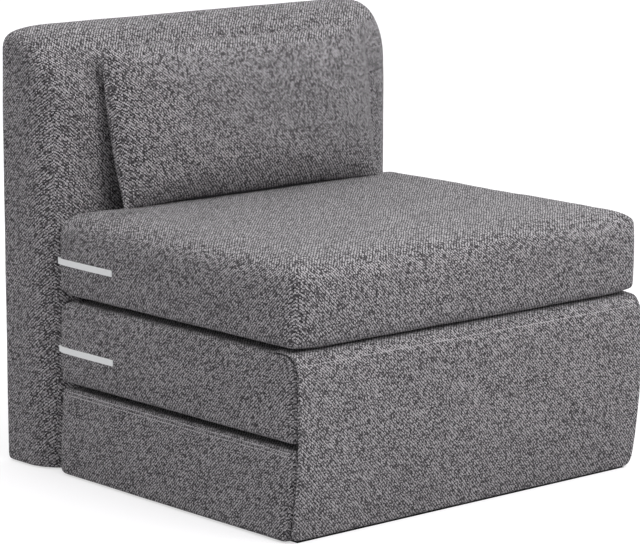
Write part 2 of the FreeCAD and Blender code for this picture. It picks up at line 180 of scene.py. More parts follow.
def wovenTweed():
    # Polyester linen-look upholstery cloth, a 2/1 twill of heather yarns.
    # To the eye: salt-and-pepper grey with a fine slanting hatch, dull, with a trace of sheen.
    look = tweedLook
    material, tree = newMaterial("wovenTweed")
    place, across, along = clothPlane(tree)
    wander = addNode(tree, "TexNoise", {"Vector": place, "Scale": 14.0, "Detail": 2.0})
    waver = look["waver"]
    drift = addNode(tree, "Math", {0: wander, 1: 2 * waver, 2: -waver}, operation="MULTIPLY_ADD")
    warpAt, weftAt = [
        addNode(tree, "Math", {0: way, 1: 1 / (pitch * mm), 2: drift}, operation="MULTIPLY_ADD")
        for way, pitch in ((across, look["warpPitch"]), (along, look["weftPitch"]))
    ]
    warpYarn, weftYarn = [addNode(tree, "Math", {0: at}, operation="FLOOR") for at in (warpAt, weftAt)]
    crossing = addNode(tree, "Math", {0: warpYarn, 1: weftYarn}, operation="ADD")
    step = addNode(tree, "Math", {0: crossing, 1: look["twill"]}, operation="FLOORED_MODULO")
    weftOver = addNode(tree, "Math", {0: step, 1: 0.5}, operation="LESS_THAN")
    cell = addNode(tree, "CombineXYZ", {0: warpYarn, 1: weftYarn})
    cellShade = addNode(tree, "TexWhiteNoise", {"Vector": cell}, noise_dimensions="3D")
    slubAlong = addNode(tree, "Math", {0: along, 1: 1 / (look["slubLength"] * mm)}, operation="MULTIPLY")
    yarnRow = addNode(tree, "Math", {0: warpYarn, 1: 0.73, 2: 0.5}, operation="MULTIPLY_ADD")
    slubPlace = addNode(tree, "CombineXYZ", {0: yarnRow, 1: slubAlong})
    slub = addNode(tree, "TexNoise", {"Vector": slubPlace, "Scale": 1.0, "Detail": 0.0})
    slubShade = addNode(tree, "MapRange", {
        0: slub, 1: 0.3, 2: 0.7, 3: -look["slubShade"], 4: look["slubShade"],
    })
    weftShift = addNode(tree, "Math", {
        0: weftOver, 1: look["weftShift"], 2: -look["weftShift"] / look["twill"],
    }, operation="MULTIPLY_ADD")
    shifted = addNode(tree, "Math", {0: slubShade, 1: weftShift}, operation="ADD")
    shade = addNode(tree, "Math", {0: cellShade, 1: shifted}, operation="ADD", use_clamp=True)
    ramp = addNode(tree, "ValToRGB", {0: shade})
    stops = ramp.color_ramp.elements
    stops[0].position, stops[0].color = 0.0, srgb(look["dark"])
    stops[1].position, stops[1].color = 1.0, srgb(look["light"])
    stops.new(0.52).color = srgb(look["middle"])
    rounds = []
    for at in (warpAt, weftAt):
        part = addNode(tree, "Math", {0: at}, operation="FRACT")
        turn = addNode(tree, "Math", {0: part, 1: math.pi}, operation="MULTIPLY")
        rounds.append(addNode(tree, "Math", {0: turn}, operation="SINE"))
    yarnRound = addNode(tree, "Mix", {0: weftOver, 2: rounds[0], 3: rounds[1]})
    height = addNode(tree, "Math", {0: yarnRound, 1: 0.6}, operation="POWER")
    # Painted shade: the colour darkens from each yarn's crown towards the gaps between yarns; the cloud
    # patches on top are random tone
    valleyShade = look["valleyShade"]
    sunk = addNode(tree, "Math", {0: height, 1: 1 - valleyShade, 2: valleyShade}, operation="MULTIPLY_ADD")
    cloud = addNode(tree, "TexNoise", {"Vector": place, "Scale": 9.0, "Detail": 3.0})
    patch = addNode(tree, "Math", {
        0: cloud, 1: 2 * look["cloud"], 2: 1 - look["cloud"],
    }, operation="MULTIPLY_ADD")
    level = addNode(tree, "Math", {0: sunk, 1: patch}, operation="MULTIPLY")
    colour = addNode(tree, "VectorMath", {0: ramp, 3: level}, operation="SCALE")
    fuzz = addNode(tree, "TexNoise", {"Vector": place, "Scale": 2200.0, "Detail": 2.0})
    surface = addNode(tree, "Math", {0: fuzz, 1: 0.3, 2: height}, operation="MULTIPLY_ADD")
    depth = look["yarnDepth"] * mm
    bump = addNode(tree, "Bump", {"Strength": 0.8, "Distance": depth, "Height": surface})
    shader = addNode(tree, "BsdfPrincipled", {
        "Base Color": colour, "Normal": bump, "Roughness": 0.92,
        "Sheen Weight": 0.08, "Sheen Roughness": 0.5, "Specular IOR Level": 0.2,
    })
    addNode(tree, "OutputMaterial", {0: shader})
    return material


def patterned(material, tree, pattern, stops, relief, inputs):
    # One pattern gives colour and relief: stops are (position, colour), relief is (strength, mm).
    ramp = addNode(tree, "ValToRGB", {0: pattern})
    for element, (position, colour) in zip(ramp.color_ramp.elements, stops):
        element.position, element.color = position, colour
    if relief:
        strength, depth = relief[0], relief[1] * mm
        inputs["Normal"] = addNode(tree, "Bump", {"Strength": strength, "Distance": depth, "Height": pattern})
    shader = addNode(tree, "BsdfPrincipled", {"Base Color": ramp, **inputs})
    addNode(tree, "OutputMaterial", {0: shader})
    return material


def pressedFelt(name, hexText, fibreSize):
    # Spun-bonded polypropylene: dull black with a faint mottle of pressed fibres.
    material, tree = newMaterial(name)
    place = addNode(tree, "TexCoord").outputs["Object"]
    fibres = addNode(tree, "TexNoise", {"Vector": place, "Scale": 1 / (fibreSize * mm), "Detail": 4.0})
    stops = ((0, srgb(hexText, 0.6)), (1, srgb(hexText, 1.6)))
    surface = {"Roughness": 0.9, "Specular IOR Level": 0.2}
    return patterned(material, tree, fibres, stops, (0.6, 0.3), surface)


def wovenTape(name, hexText, pitch, shadow):
    # Flat polyester or nylon tape, closely woven: fine ribs and picks, soft satin.
    material, tree = newMaterial(name)
    place, across, along = clothPlane(tree)
    waves = []
    for way, length in ((along, pitch), (across, pitch * 0.8)):
        turn = addNode(tree, "Math", {0: way, 1: 2 * math.pi / (length * mm)}, operation="MULTIPLY")
        waves.append(addNode(tree, "Math", {0: turn}, operation="SINE"))
    both = addNode(tree, "Math", {0: waves[0], 1: waves[1]}, operation="MULTIPLY")
    height = addNode(tree, "Math", {0: both, 1: 0.5, 2: 0.5}, operation="MULTIPLY_ADD")
    stops = ((0, srgb(hexText, shadow)), (1, srgb(hexText)))
    surface = {"Roughness": 0.7, "Specular IOR Level": 0.35}
    return patterned(material, tree, height, stops, (0.5, 0.2), surface)


def planedWood(name, lightHex, darkHex, ringPitch, stretch):
    # Planed softwood or birch plywood: growth rings drawn out along the length, satin.
    material, tree = newMaterial(name)
    place = addNode(tree, "TexCoord").outputs["Object"]
    drawn = addNode(tree, "Mapping", {"Vector": place, "Scale": stretch})
    rings = addNode(tree, "TexNoise", {
        "Vector": drawn, "Scale": 1 / (ringPitch * mm), "Detail": 5.0, "Distortion": 0.6,
    })
    stops = ((0.35, srgb(lightHex)), (0.68, srgb(darkHex)))
    return patterned(material, tree, rings, stops, (0.3, 0.2), {"Roughness": 0.6})


def smallMetal(name, hexText, roughness, metallic):
    # Zinc plate, or enamel stoved onto a die casting: even colour with a fine grain in the gloss.
    material, tree = newMaterial(name)
    place = addNode(tree, "TexCoord").outputs["Object"]
    grain = addNode(tree, "TexNoise", {"Vector": place, "Scale": 900.0, "Detail": 2.0})
    rough = addNode(tree, "Math", {0: grain, 1: 0.2, 2: roughness - 0.1}, operation="MULTIPLY_ADD")
    shader = addNode(tree, "BsdfPrincipled", {
        "Base Color": srgb(hexText), "Metallic": metallic, "Roughness": rough,
    })
    addNode(tree, "OutputMaterial", {0: shader})
    return material


def spunThread(name, hexText):
    # Bonded polyester sewing thread: a little lighter than the cloth, with a slight gloss.
    material, tree = newMaterial(name)
    place = addNode(tree, "TexCoord").outputs["Object"]
    twist = addNode(tree, "TexNoise", {"Vector": place, "Scale": 1500.0, "Detail": 1.0})
    stops = ((0, srgb(hexText, 0.7)), (1, srgb(hexText, 1.2)))
    return patterned(material, tree, twist, stops, None, {"Roughness": 0.55})


tweed = wovenTweed()
greyThread = spunThread("spunThreadGrey", "#bdbabd")
blackFelt = pressedFelt("pressedFeltBlack", "#1b1b1c", 1.2)
whiteWebbing = wovenTape("wovenPolyesterWhite", "#f6f7f8", 1.4, 0.82)
blackTape = wovenTape("wovenNylonBlack", "#2a2a2e", 1.1, 0.5)
pine = planedWood("planedPine", "#d8b483", "#b58a57", 9.0, (1.0, 1.0, 0.12))
plywood = planedWood("birchPlywood", "#d9bf95", "#b8935f", 6.0, (1.0, 1.0, 0.15))
zincPlate = smallMetal("zincPlatedSteel", "#b9b9b4", 0.35, 1.0)
blackEnamel = smallMetal("stovedBlackEnamel", "#1c1c1e", 0.4, 0.0)
nylonCoil = smallMetal("mouldedNylonBlack", "#26262a", 0.45, 0.0)
print("materials made")


# Soft forms

def boxGrid(counts):
    # The six faces of a box as one closed grid of quads, with its corners at 0 and 1.
    nx, ny, nz = counts
    index, points = {}, []

    def at(i, j, k):
        if (i, j, k) not in index:
            index[(i, j, k)] = len(points)
            points.append((i / nx, j / ny, k / nz))
        return index[(i, j, k)]

    faces = []
    for i in range(nx):
        for j in range(ny):
            faces.append((at(i, j, 0), at(i, j + 1, 0), at(i + 1, j + 1, 0), at(i + 1, j, 0)))
            faces.append((at(i, j, nz), at(i + 1, j, nz), at(i + 1, j + 1, nz), at(i, j + 1, nz)))
    for i in range(nx):
        for k in range(nz):
            faces.append((at(i, 0, k), at(i + 1, 0, k), at(i + 1, 0, k + 1), at(i, 0, k + 1)))
            faces.append((at(i, ny, k), at(i, ny, k + 1), at(i + 1, ny, k + 1), at(i + 1, ny, k)))
    for j in range(ny):
        for k in range(nz):
            faces.append((at(0, j, k), at(0, j, k + 1), at(0, j + 1, k + 1), at(0, j + 1, k)))
            faces.append((at(nx, j, k), at(nx, j + 1, k), at(nx, j + 1, k + 1), at(nx, j, k + 1)))
    return np.array(points), faces


formLook = {    # mm
    "halvings": 24,
    "core": (60, 60, 60),
    "sideBand": (70, 6),                # where a side edge's lift and drop start, and are full
    "hollowBand": (10, 24, 90, 150),    # where the top's hollow starts, is full, ends and is gone
    "crownPower": 6,
    "swellBand": 90, "swellPower": 6,
    "rearSwell": 0.75,                  # a side swells less towards its rear corner
}


def wrapForm(name, low, high, core, isInside, step):
    # A closed grid drawn in along rays to a core box, until it lies on the form's surface. All in mm.
    low, high, core = np.array(low, float), np.array(high, float), np.array(core, float)
    counts = [max(4, round((b - a) / step)) for a, b in zip(low, high)]
    unit, faces = boxGrid(counts)
    outer = low + unit * (high - low)
    inner = np.clip(outer, low + core, high - core)
    near, far = np.zeros(len(outer)), np.ones(len(outer))
    for _ in range(formLook["halvings"]):
        half = (near + far) / 2
        good = isInside(inner + (outer - inner) * half[:, None])
        near = np.where(good, half, near)
        far = np.where(good, far, half)
    return makeObject(name, (inner + (outer - inner) * near[:, None]) * mm, faces, tweed)


def twoLayers(wide, tall, placeAt):
    # Front and back layer of a pad, joined round the rim; placeAt(i, k, side, rim) gives a point in mm.
    points, faces, index = [], [], {}

    def at(i, k, side):
        rim = i in (0, wide) or k in (0, tall)
        key = (i, k, 0 if rim else side)
        if key not in index:
            index[key] = len(points)
            points.append(placeAt(i, k, side, rim))
        return index[key]

    for i in range(wide):
        for k in range(tall):
            faces.append((at(i, k, -1), at(i + 1, k, -1), at(i + 1, k + 1, -1), at(i, k + 1, -1)))
            faces.append((at(i, k, 1), at(i, k + 1, 1), at(i + 1, k + 1, 1), at(i + 1, k, 1)))
    return np.array(points), faces


def insideCorners(u, v, rounds):
    # Each round is its centre, its radius and the quarter that it rounds off.
    good = np.ones(len(u), bool)
    for centreU, centreV, radius, sideU, sideV in rounds:
        beyond = ((u - centreU) * sideU > 0) & ((v - centreV) * sideV > 0)
        good &= ~beyond | ((u - centreU) ** 2 + (v - centreV) ** 2 <= radius ** 2)
    return good


def sectionTest(low, high, look):
    # Inside a foam section: its plan, its front view and its side view, each with rounded corners.
    (x0, y0, z0), (x1, y1, z1) = low, high
    planFront, planRear, foot = look["planFront"], look["planRear"], look["foot"]
    side, topFront, topRear = look["side"], look["topFront"], look["topRear"]
    starts, full, ends, gone = formLook["hollowBand"]
    power = formLook["crownPower"]

    def test(p):
        x, y, z = p.T
        inward = x1 - np.abs(x)
        toSide = 1 - smoothStep(inward, *reversed(formLook["sideBand"]))
        hollow = look["hollow"] * smoothStep(inward, starts, full) * (1 - smoothStep(inward, ends, gone))
        bottom, top = z0 + look["footLift"] * toSide, z1 - look["edgeDrop"] * toSide - hollow
        good = (x >= x0) & (x <= x1) & (y >= y0) & (y <= y1) & (z >= bottom)
        midY = (y0 + topFront + y1 - topRear) / 2
        reachX, reachY = x1 - side, (y1 - topRear) - midY
        good &= z <= top + look["crownAcross"] * np.clip(1 - (x / reachX) ** power, 0, 1)
        good &= z <= top + look["crownAlong"] * np.clip(1 - ((y - midY) / reachY) ** power, 0, 1)
        for sign, edge in ((-1, x0), (1, x1)):
            good &= insideCorners(x, y, [
                (edge - sign * planFront, y0 + planFront, planFront, sign, -1),
                (edge - sign * planRear, y1 - planRear, planRear, sign, 1),
            ])
            good &= insideCorners(x, z, [
                (edge - sign * foot, bottom + foot, foot, sign, -1),
                (edge - sign * side, top - side, side, sign, 1),
            ])
        return good & insideCorners(y, z, [
            (y0 + look["footFront"], bottom + look["footFront"], look["footFront"], -1, -1),
            (y1 - look["footRear"], bottom + look["footRear"], look["footRear"], 1, -1),
            (y0 + topFront, top - topFront, topFront, -1, 1),
            (y1 - topRear, top - topRear, topRear, 1, 1),
        ])

    return test


def swell(obj, axis, side, reach, amount, level):
    # Bows one face of a section outward, most at mid height and half way along. All in mm.
    points = getPoints(obj) / mm
    other = 1 - axis
    lowOther, highOther = points[:, other].min(), points[:, other].max()
    along = (points[:, other] - (lowOther + highOther) / 2) / ((highOther - lowOther) / 2)
    up = (points[:, 2] - level[0]) / (level[1] - level[0]) * 2 - 1
    near = smoothStep(points[:, axis] * side, reach - formLook["swellBand"], reach)
    fall = np.where(along > 0, formLook["rearSwell"], 1) if axis == 0 else 1
    bow = np.clip(1 - fall * along ** formLook["swellPower"], 0, 1)
    shape = near * np.clip(1 - up ** 2, 0, 1) * bow
    points[:, axis] += side * amount * shape
    setPoints(obj, points * mm)


puffLook = {"frames": 20, "quality": 5, "mass": 0.3, "tension": 12.0, "shear": 4.0, "bending": 3.0}


def puff(obj, look, hold=None):
    # Blows the cover up a little with a cloth simulation; no point moves further than the caps, in mm.
    rest, normals = getPoints(obj), getPoints(obj, "normal")
    modifier = obj.modifiers.new("puff", "CLOTH")
    cloth = modifier.settings
    cloth.quality = puffLook["quality"]
    cloth.mass = puffLook["mass"]
    cloth.tension_stiffness = cloth.compression_stiffness = puffLook["tension"]
    cloth.shear_stiffness = puffLook["shear"]
    cloth.bending_stiffness = puffLook["bending"]
    cloth.use_pressure = True
    cloth.uniform_pressure_force = look["pressure"]
    cloth.effector_weights.gravity = 0.0
    for number in range(puffLook["frames"]):
        scene.frame_set(number + 1)
    shown = obj.evaluated_get(bpy.context.evaluated_depsgraph_get())
    step = getPoints(shown) - rest
    obj.modifiers.remove(modifier)
    scene.frame_set(1)
    size = np.linalg.norm(step, axis=1) + 1e-9
    outward = (step * normals).sum(axis=1) > 0
    limit = np.where(outward, look["cap"], look["inwardCap"]) * mm
    share = limit * np.tanh(size / limit) / size
    if hold is not None:
        share *= hold(rest / mm)
    setPoints(obj, rest + step * share[:, None])
    print("puffed", obj.name, "by up to", round(float(size.max()) / mm, 1), "mm before the cap")


def press(obj, axis, limit, softness, side):
    # What lies against the form flattens it softly: side 1 is a limit above, -1 one below. In mm.
    points = getPoints(obj)
    over = (points[:, axis] - limit * mm) * side / (softness * mm) + 1
    eased = np.where(over > 0, np.tanh(np.maximum(over, 0)), over)
    points[:, axis] = limit * mm + side * (eased - 1) * softness * mm
    setPoints(obj, points)


def unevenness(obj, height, size, seed):
    # Slow hills and hollows of the filling, in mm.
    points, normals = getPoints(obj), getPoints(obj, "normal")
    away = Vector((seed, seed * 2, 0))
    shift = np.array([noise.noise(Vector(p) / (size * mm) + away) for p in points])
    setPoints(obj, points + normals * shift[:, None] * height * mm)


def subdivide(obj):
    modifier = obj.modifiers.new("fine", "SUBSURF")
    modifier.levels = modifier.render_levels = 1
    shown = obj.evaluated_get(bpy.context.evaluated_depsgraph_get())
    mesh = bpy.data.meshes.new_from_object(shown)
    mesh.name = obj.name
    obj.modifiers.clear()
    obj.data = mesh


def cutSlot(obj, low, high, axis, side, depth):
    # Opens a sharp slot in a cover where its zip lies: low and high are the slot's corners, in mm.
    mesh = bmesh.new()
    mesh.from_mesh(obj.data)
    facing = Vector([side if i == axis else 0 for i in range(3)])
    flat = [i for i in range(3) if i != axis]

    def within(face, margin):
        centre = face.calc_center_median() / mm
        inside = all(low[i] - margin < centre[i] < high[i] + margin for i in flat)
        return inside and face.normal.dot(facing) > 0.5

    for i in flat:
        for edge in (low[i], high[i]):
            faces = [f for f in mesh.faces if within(f, 20)]
            parts = set(faces)
            for face in faces:
                parts.update(face.edges)
                parts.update(face.verts)
            where, plane = [0, 0, 0], [0, 0, 0]
            where[i], plane[i] = edge * mm, 1
            bmesh.ops.bisect_plane(mesh, geom=list(parts), dist=1e-7, plane_co=where, plane_no=plane)
    faces = [f for f in mesh.faces if within(f, 0)]
    made = bmesh.ops.extrude_face_region(mesh, geom=faces)
    sunk = [v for v in made["geom"] if isinstance(v, bmesh.types.BMVert)]
    bmesh.ops.delete(mesh, geom=faces, context="FACES_ONLY")
    bottom = (high[axis] if side > 0 else low[axis]) * mm - side * depth * mm
    for vert in sunk:
        vert.co[axis] = bottom
    for edge in mesh.edges:
        if len(edge.link_faces) == 2 and edge.calc_face_angle(0) > 0.9:
            edge.smooth = False
    mesh.to_mesh(obj.data)
    mesh.free()
    obj.data.update()


# Seams and stitches

def surfaceOf(obj):
    return BVHTree.FromObject(obj, bpy.context.evaluated_depsgraph_get())


def lay(surface, starts, targets, lift):
    # Points where rays from starts to targets meet the cover, lifted off it by some mm.
    laid = []
    for start, target in zip(starts, targets):
        start, target = Vector(start) * mm, Vector(target) * mm
        place, normal, _, _ = surface.ray_cast(start, (target - start).normalized())
        if place is not None:
            laid.append((place + normal * lift * mm, normal))
    return laid


def tube(rings, sides, capped):
    # A roll along rings of (centre, direction ahead, direction up, radius), as points and faces.
    points, faces = [], []
    for centre, ahead, up, radius in rings:
        across = np.cross(up, ahead)
        across /= np.linalg.norm(across) + 1e-12
        for turn in range(sides):
            angle = turn * 2 * math.pi / sides
            points.append(centre + (across * math.cos(angle) + up * math.sin(angle)) * radius)
    for start in range(0, len(points) - sides, sides):
        for turn in range(sides):
            a, b = start + turn, start + (turn + 1) % sides
            faces.append((a, b, b + sides, a + sides))
    if capped:
        faces.append(tuple(range(sides - 1, -1, -1)))
        faces.append(tuple(range(len(points) - sides, len(points))))
    return points, faces


def stitchRow(path, stitch):
    # Short threads end to end along a path of (point, normal).
    line, normals = [np.array([tuple(pair[i]) for pair in path]) for i in (0, 1)]
    run = np.concatenate(([0], np.cumsum(np.linalg.norm(np.diff(line, axis=0), axis=1)))) / mm

    def part(values, distance):
        return np.array([np.interp(distance, run, values[:, i]) for i in range(3)])

    threads = []
    for number in range(int(run[-1] / stitch["spacing"])):
        middle = (number + 0.5) * stitch["spacing"]
        start, end = [part(line, middle + way * stitch["length"] / 2) for way in (-1, 1)]
        up = part(normals, middle)
        up /= np.linalg.norm(up) + 1e-12
        threads.append(tube([
            (start + (end - start) * share, end - start, up, stitch["radius"] * size * mm)
            for share, size in ((0, 0.35), (0.2, 1), (0.8, 1), (1, 0.35))
        ], 6, True))
    return threads


def makeStitches(name, rows, body, stitch):
    threads = [thread for row in rows for thread in stitchRow(row, stitch)]
    return finishPiece(makeObject(name, *joinParts(threads), greyThread), body, "grey_fabric")


def ridge(name, paths, radius, body):
    # A sewn seam's lip: a thin roll of the same cloth, half sunk in the cover.
    rolls = []
    for path in paths:
        line = [np.array(tuple(place)) for place, _ in path]
        last = len(line) - 1
        rolls.append(tube([
            (line[i], line[min(i + 1, last)] - line[max(i - 1, 0)], np.array(tuple(path[i][1])), radius * mm)
            for i in range(last + 1)
        ], 8, False))
    return finishPiece(makeObject(name, *joinParts(rolls), tweed), body, "grey_fabric")


# Seat, middle and base section, all in mm

seatLook = {
    "planFront": 28, "planRear": 8,     # corner radii seen from above
    "foot": 16, "footFront": 24, "footRear": 24, "side": 38, "topFront": 40, "topRear": 18,
    "crownAcross": 8, "crownAlong": 5,
    "footLift": 4,      # the sides' lower edge lies higher than the middle
    "edgeDrop": 0, "hollow": 0, "wider": 2,
    "step": 9, "pressure": 4, "cap": 4, "inwardCap": 1.0, "start": 0.5,
    "frontSwell": 8, "sideSwell": 6,
    "presses": ((2, -1, 0.1, 3), (1, 1, 0.6, 3)),   # axis, side, reach past the node's box, softness
    "uneven": (0.7, 70, 3.1),
}
middleLook = {
    "planFront": 22, "planRear": 9,
    "foot": 14, "footFront": 22, "footRear": 14, "side": 9, "topFront": 38, "topRear": 28,
    "crownAcross": 0, "crownAlong": 0,
    "footLift": 5, "edgeDrop": 2,
    "hollow": 5,        # dip in the top behind its side edge
    "wider": 3,
    "step": 9, "pressure": 4, "cap": 3, "inwardCap": 1.0, "start": 0.5,
    "frontSwell": 0, "sideSwell": 5,
    "presses": ((2, -1, 0.1, 3), (2, 1, 0.6, 3), (1, 1, 0.6, 3), (1, -1, -0.3, 3)),
    "uneven": (0.6, 70, 4.3),
}
baseLook = {
    "planFront": 17, "planRear": 7,
    "foot": 7, "footFront": 9, "footRear": 14, "side": 4, "topFront": 8, "topRear": 6,
    "crownAcross": 0, "crownAlong": 0,
    "footLift": 0, "edgeDrop": 1.5, "hollow": 6, "wider": 0,
    "flare": 8, "flareBand": (90, 2),               # each side stands out further at the floor
    "lean": 21, "leanDepth": 220, "leanPower": 1.6,     # the front leans in at the floor, and the flap too
    "step": 8, "pressure": 4, "cap": 2.5, "inwardCap": 0.5, "start": 0.4,
    "frontSwell": 0, "sideSwell": 3,
    "presses": ((2, -1, -0.8, 2), (2, 1, 0.5, 2), (1, 1, 0.6, 3), (1, -1, -0.3, 3)),
    "uneven": (0.5, 70, 6.4),
}
middleLow, middleHigh = corners("middle_cover")
baseLow, baseHigh = corners("base_cover")


def makeSection(name, node, look, reshape=None):
    low, high = corners(node)
    start, wider = look["start"], look["wider"]
    formLow = [low[0] + start - wider, low[1] + start, low[2] + start]
    formHigh = [high[0] - start + wider, high[1], high[2] - look["crownAlong"] - start]
    outerHigh = (formHigh[0], formHigh[1], formHigh[2] + look["crownAcross"] + 1)
    test = sectionTest(formLow, formHigh, look)
    obj = wrapForm(name, formLow, outerHigh, formLook["core"], test, look["step"])
    level = (formLow[2], formHigh[2])
    swell(obj, 1, -1, -formLow[1], look["frontSwell"], level)
    for side in (-1, 1):
        swell(obj, 0, side, formHigh[0], look["sideSwell"], level)
    puff(obj, look)
    for axis, side, reach, softness in look["presses"]:
        press(obj, axis, (high if side > 0 else low)[axis] + reach, softness, side)
    if reshape:
        setPoints(obj, reshape(getPoints(obj) / mm) * mm)
    unevenness(obj, *look["uneven"])
    subdivide(obj)
    print(name, "formed")
    return obj


def howFarDown(points):
    return np.clip((baseHigh[2] - points[:, 2]) / (baseHigh[2] - baseLow[2]), 0, 1)


def leanIn(points):
    # Moves the lower front back, for the base's front and for the flap that hangs on it.
    front = 1 - smoothStep(points[:, 1], baseLow[1], baseLow[1] + baseLook["leanDepth"])
    points[:, 1] += baseLook["lean"] * howFarDown(points) ** baseLook["leanPower"] * front
    return points


def flareOut(points):
    # The base's sides slope outward to the floor.
    toSide = smoothStep(np.abs(points[:, 0]), *[baseHigh[0] - inward for inward in baseLook["flareBand"]])
    points[:, 0] += np.sign(points[:, 0]) * baseLook["flare"] * howFarDown(points) * toSide
    return points


seat = makeSection("seatSection", "seat_cover", seatLook)
middle = makeSection("middleSection", "middle_cover", middleLook)
base = makeSection("baseSection", "base_cover", baseLook, lambda points: flareOut(leanIn(points)))
seatSurface, middleSurface, baseSurface = [surfaceOf(obj) for obj in (seat, middle, base)]


# Backrest

backLook = {
    "sideRadius": 82, "browRadius": 128, "rearRadius": 28, "endRadius": 4, "footRadius": 6,
    "endFall": 0.2,         # how much of the side's rounding the top edge takes
    "step": 9, "core": (90, 60, 90),
    "pressure": 4, "cap": 3, "inwardCap": 0.4,
    "held": 0.85, "heldBand": 60,       # the rear face, with its zip, puffs less
    "grow": 3,              # mm that the cover stands proud of the drawn size
    "drawIn": 3, "drawInHeight": 170,   # mm that each end narrows towards the top
    "uneven": (0.6, 80, 8.2),
}


def backTest(low, high, look):
    # Inside the backrest: its side view, drawn in by the roundings towards each end.
    def test(p):
        x, y, z = p.T
        drawnIn = look["drawIn"] * smoothStep(z, high[2] - look["drawInHeight"], high[2])
        distance = np.minimum(x - low[0], high[0] - x) - drawnIn
        sideRadius, endRadius = look["sideRadius"], look["endRadius"]
        inFront = np.clip(sideRadius - distance, 0, sideRadius)
        inOther = np.clip(endRadius - distance, 0, endRadius)
        frontIn = sideRadius - np.sqrt(sideRadius ** 2 - inFront ** 2)
        otherIn = endRadius - np.sqrt(endRadius ** 2 - inOther ** 2)
        front, rear = low[1] + frontIn, high[1] - otherIn
        top = high[2] - np.maximum(otherIn, frontIn * look["endFall"])
        bottom = low[2] + otherIn
        rearRadius = np.maximum(look["rearRadius"] - otherIn, 1)
        brow = look["browRadius"] - frontIn
        smallY, smallZ, bigY = rear - rearRadius, top - rearRadius, front + brow
        span = smallY - front
        bigZ = smallZ - np.sqrt(np.maximum((span - rearRadius) * (2 * brow - rearRadius - span), 0))
        onBrow = (y - smallY) * (smallZ - bigZ) < (z - smallZ) * (smallY - bigY)
        good = (distance >= 0) & (y >= front) & (y <= rear) & (z >= bottom) & (z <= top)
        good &= ~((z > bigZ) & onBrow & ((y - bigY) ** 2 + (z - bigZ) ** 2 > brow ** 2))
        foot = look["footRadius"]
        return good & insideCorners(y, z, [
            (smallY, smallZ, rearRadius, 1, 1),
            (front + foot, bottom + foot, foot, -1, -1),
            (rear - foot, bottom + foot, foot, 1, -1),
        ])

    return test


backLow, backHigh = corners("back_cover")


def makeBackrest():
    look = backLook
    grow = look["grow"]
    low = [backLow[0] - grow, backLow[1] + 0.5, backLow[2]]
    high = [backHigh[0] + grow, backHigh[1] + grow, backHigh[2]]
    obj = wrapForm("backrest", low, high, look["core"], backTest(low, high, look), look["step"])
    rear = backHigh[1]
    puff(obj, look, lambda p: 1 - look["held"] * smoothStep(p[:, 1], rear - look["heldBand"], rear))
    press(obj, 2, backLow[2] - 0.6, 2, -1)
    unevenness(obj, *look["uneven"])
    subdivide(obj)
    return obj


backrest = makeBackrest()
backSurface = surfaceOf(backrest)
print("backrest formed")


# Lumbar pillow

pillowLook = {
    "width": 598, "height": 288, "frontSwell": 56, "rearSwell": 34, "drawIn": 4, "widerTop": 12,
    "bottom": (194.2, 468.5),   # mm, y and z of the bottom seam
    "tilt": 9.6, "sag": 8, "step": 7,
    "fullness": 0.62, "acrossPower": 4, "upPower": 2.6,     # how square the swell is
    "pressure": 3, "cap": 4, "inwardCap": 1,
    "zipFlat": 5.4, "zipBand": (163, 178),      # mm that the bottom seam is pushed up along the zip
    "uneven": (1.4, 90, 5.7),
}


def makePillow():
    look = pillowLook
    half, tall = look["width"] / 2, look["height"]
    nx, nz = round(look["width"] / look["step"]), round(tall / look["step"])

    def placeAt(i, k, side, rim):
        u, w = [math.sin((2 * share - 1) * math.pi / 2) for share in (i / nx, k / nz)]
        x = u * (half + look["widerTop"] * (1 + w) / 2)
        z = tall / 2 + w * (tall / 2 - look["drawIn"] * (1 - u ** 4))
        swellMost = look["frontSwell"] if side < 0 else look["rearSwell"]
        full = (1 - abs(u) ** look["acrossPower"]) ** look["fullness"]
        full *= (1 - abs(w) ** look["upPower"]) ** look["fullness"]
        return (x, side * swellMost * full + look["sag"] * (1 - w ** 2), z)

    points, faces = twoLayers(nx, nz, placeAt)
    obj = makeObject("lumbarPillow", points * mm, faces, tweed)
    puff(obj, look)
    unevenness(obj, *look["uneven"])
    subdivide(obj)
    points = getPoints(obj) / mm
    flat = look["zipFlat"] * (1 - smoothStep(np.abs(points[:, 0]), *look["zipBand"]))
    points[:, 2] = np.maximum(points[:, 2], flat)
    setPoints(obj, points * mm)
    return obj


def placePillow(points):
    # From the pillow's own frame to where it leans, in mm.
    angle = math.radians(pillowLook["tilt"])
    y0, z0 = pillowLook["bottom"]
    y = y0 + points[:, 1] * math.cos(angle) + points[:, 2] * math.sin(angle)
    z = z0 - points[:, 1] * math.sin(angle) + points[:, 2] * math.cos(angle)
    return np.column_stack((points[:, 0], y, z))


pillow = makePillow()
setPoints(pillow, placePillow(getPoints(pillow) / mm) * mm)
press(pillow, 1, backLow[1] + 0.2, 6, 1)
print("pillow formed")


# Front flap

flapLook = {
    "width": 800, "thickness": 8, "edge": 4, "edgeRecess": 1.2, "recessReach": 12, "cornerRadius": 18,
    "tongue": 1.4, "tongueLength": 20, "floorGap": 2.6,
    "foldRows": 1.4, "rows": 7, "columns": 9,
    "easeFrom": 8, "easeTo": 46,    # degrees round the front edge where the tongue grows to full thickness
    "stitchAngle": 26, "stitchReach": 392, "stitchStep": 8, "stitchFrom": 90,
    "uneven": (0.5, 60, 9.4),
    "bend": 38, "gap": 1.5, "tongueGap": 0.3,   # the middle section's front radius, and the flap off it
}
flapOuter = corners("front_flap_lower")[0][1]
foldZ = baseHigh[2] + 1
centreY, centreZ = middleLow[1] + flapLook["bend"], middleHigh[2] - flapLook["bend"]


